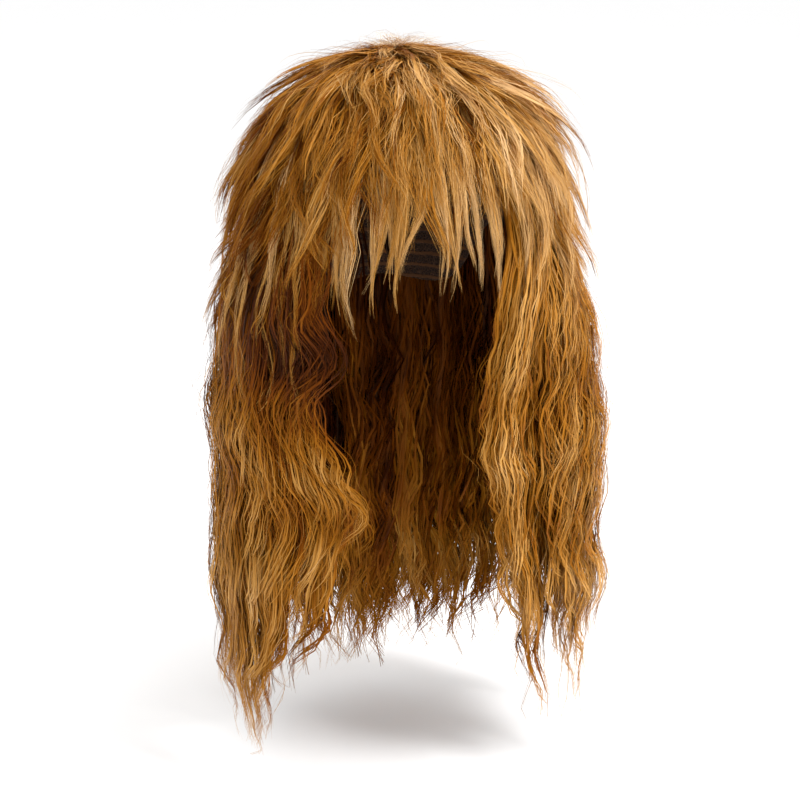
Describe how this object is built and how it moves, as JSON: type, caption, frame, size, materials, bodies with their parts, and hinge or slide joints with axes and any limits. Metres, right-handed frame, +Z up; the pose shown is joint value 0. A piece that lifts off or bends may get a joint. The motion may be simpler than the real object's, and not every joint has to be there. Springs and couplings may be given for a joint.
{
  "type": "mullet wig",
  "caption": "Shaggy golden brown wig: a hollow net cap with a spiky fringe, short layers over the crown, and long wavy hair at the sides and back.",
  "frame": {"origin": "top of the hollow in the cap, where the crown of a head sits", "axes": "+Z up out of the crown, -Y towards the face opening, +X to the wearer's left"},
  "size_m": [0.2984, 0.2437, 0.5051],
  "materials": {
    "cap_net": "fine dark brown net with rows of weft stitching, matt",
    "under_hair": "synthetic fibre, dark ginger brown, soft sheen",
    "long_hair": "crimped and wavy synthetic fibre, golden ginger brown, soft sheen",
    "layered_hair": "straight spiky synthetic fibre, golden brown with lighter tips, soft sheen",
    "fringe_hair": "straight pointed synthetic locks, golden brown, soft sheen"
  },
  "bodies": {
    "root": {"wig_cap": "cap_net", "under_hair_right": "under_hair", "under_hair_back": "under_hair", "under_hair_left": "under_hair", "long_hair_right": "long_hair", "long_hair_back": "long_hair", "long_hair_left": "long_hair", "lower_layer": "layered_hair", "fringe": "fringe_hair", "middle_layer": "layered_hair", "crown_layer": "layered_hair"}
  },
  "joints": []
}
